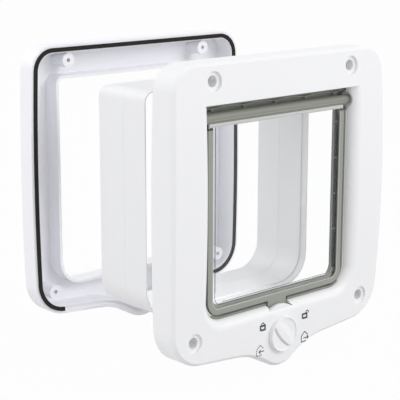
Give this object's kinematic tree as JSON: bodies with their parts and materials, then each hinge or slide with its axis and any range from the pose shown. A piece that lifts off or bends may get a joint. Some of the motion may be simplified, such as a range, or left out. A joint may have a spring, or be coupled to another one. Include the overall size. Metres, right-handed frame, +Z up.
{
  "type": "cat flap",
  "caption": "Door cat flap kit pulled apart in line: inner frame with clear hinged flap and turning lock dial, two-ring tunnel, and outer frame with a foam seal.",
  "frame": {"origin": "centre of the inner frame's four screw holes, on its face that meets the door", "axes": "+X to the right seen from the room, +Y from the room to the outdoors, +Z up"},
  "size_m": [0.1996, 0.1713, 0.2138],
  "materials": {
    "white_plastic": "satin moulded",
    "grey_plastic": "satin moulded",
    "grey_lip": "soft matt",
    "clear_sheet": "clear polished",
    "steel": "zinc plated",
    "magnet": "nickel plated",
    "foam_seal": "matt foam"
  },
  "bodies": {
    "room_side": {"inner_frame": "white_plastic", "flap_seal_ring": "grey_plastic", "draught_lip_top": "grey_lip", "draught_lip_left": "grey_lip", "draught_lip_right": "grey_lip", "hinge_bush_left": "white_plastic", "hinge_bush_right": "white_plastic", "sill_magnet": "magnet", "mechanism_cover": "white_plastic"},
    "flap": {"hinge_bar": "grey_plastic", "hinge_pin": "steel", "flap_pane": "clear_sheet", "flap_rim": "grey_plastic", "flap_magnet": "magnet"},
    "lock": {"lock_dial": "white_plastic", "front_lock_disc": "white_plastic", "rear_lock_disc": "white_plastic", "dial_washer": "steel", "dial_screw": "steel"},
    "tunnel": {"tunnel_front_ring": "white_plastic", "tunnel_rear_ring": "white_plastic"},
    "outdoor_side": {"outer_frame": "white_plastic", "outer_frame_seal": "foam_seal"}
  },
  "joints": [
    {"name": "flap_swing", "type": "hinge", "parent": "room_side", "child": "flap", "pos_m": [0, -0.0113, 0.0592], "axis": [1, 0, 0], "range_deg": [0, 90]},
    {"name": "dial_turn", "type": "hinge", "parent": "room_side", "child": "lock", "pos_m": [0, -0.019, -0.095], "axis": [0, -1, 0], "range_deg": [-90, 180]},
    {"name": "tunnel_fit", "type": "slide", "parent": "room_side", "child": "tunnel", "axis": [0, 1, 0], "range_m": [-0.038, 0]},
    {"name": "outer_fit", "type": "slide", "parent": "tunnel", "child": "outdoor_side", "axis": [0, 1, 0], "range_m": [-0.0505, 0]}
  ]
}
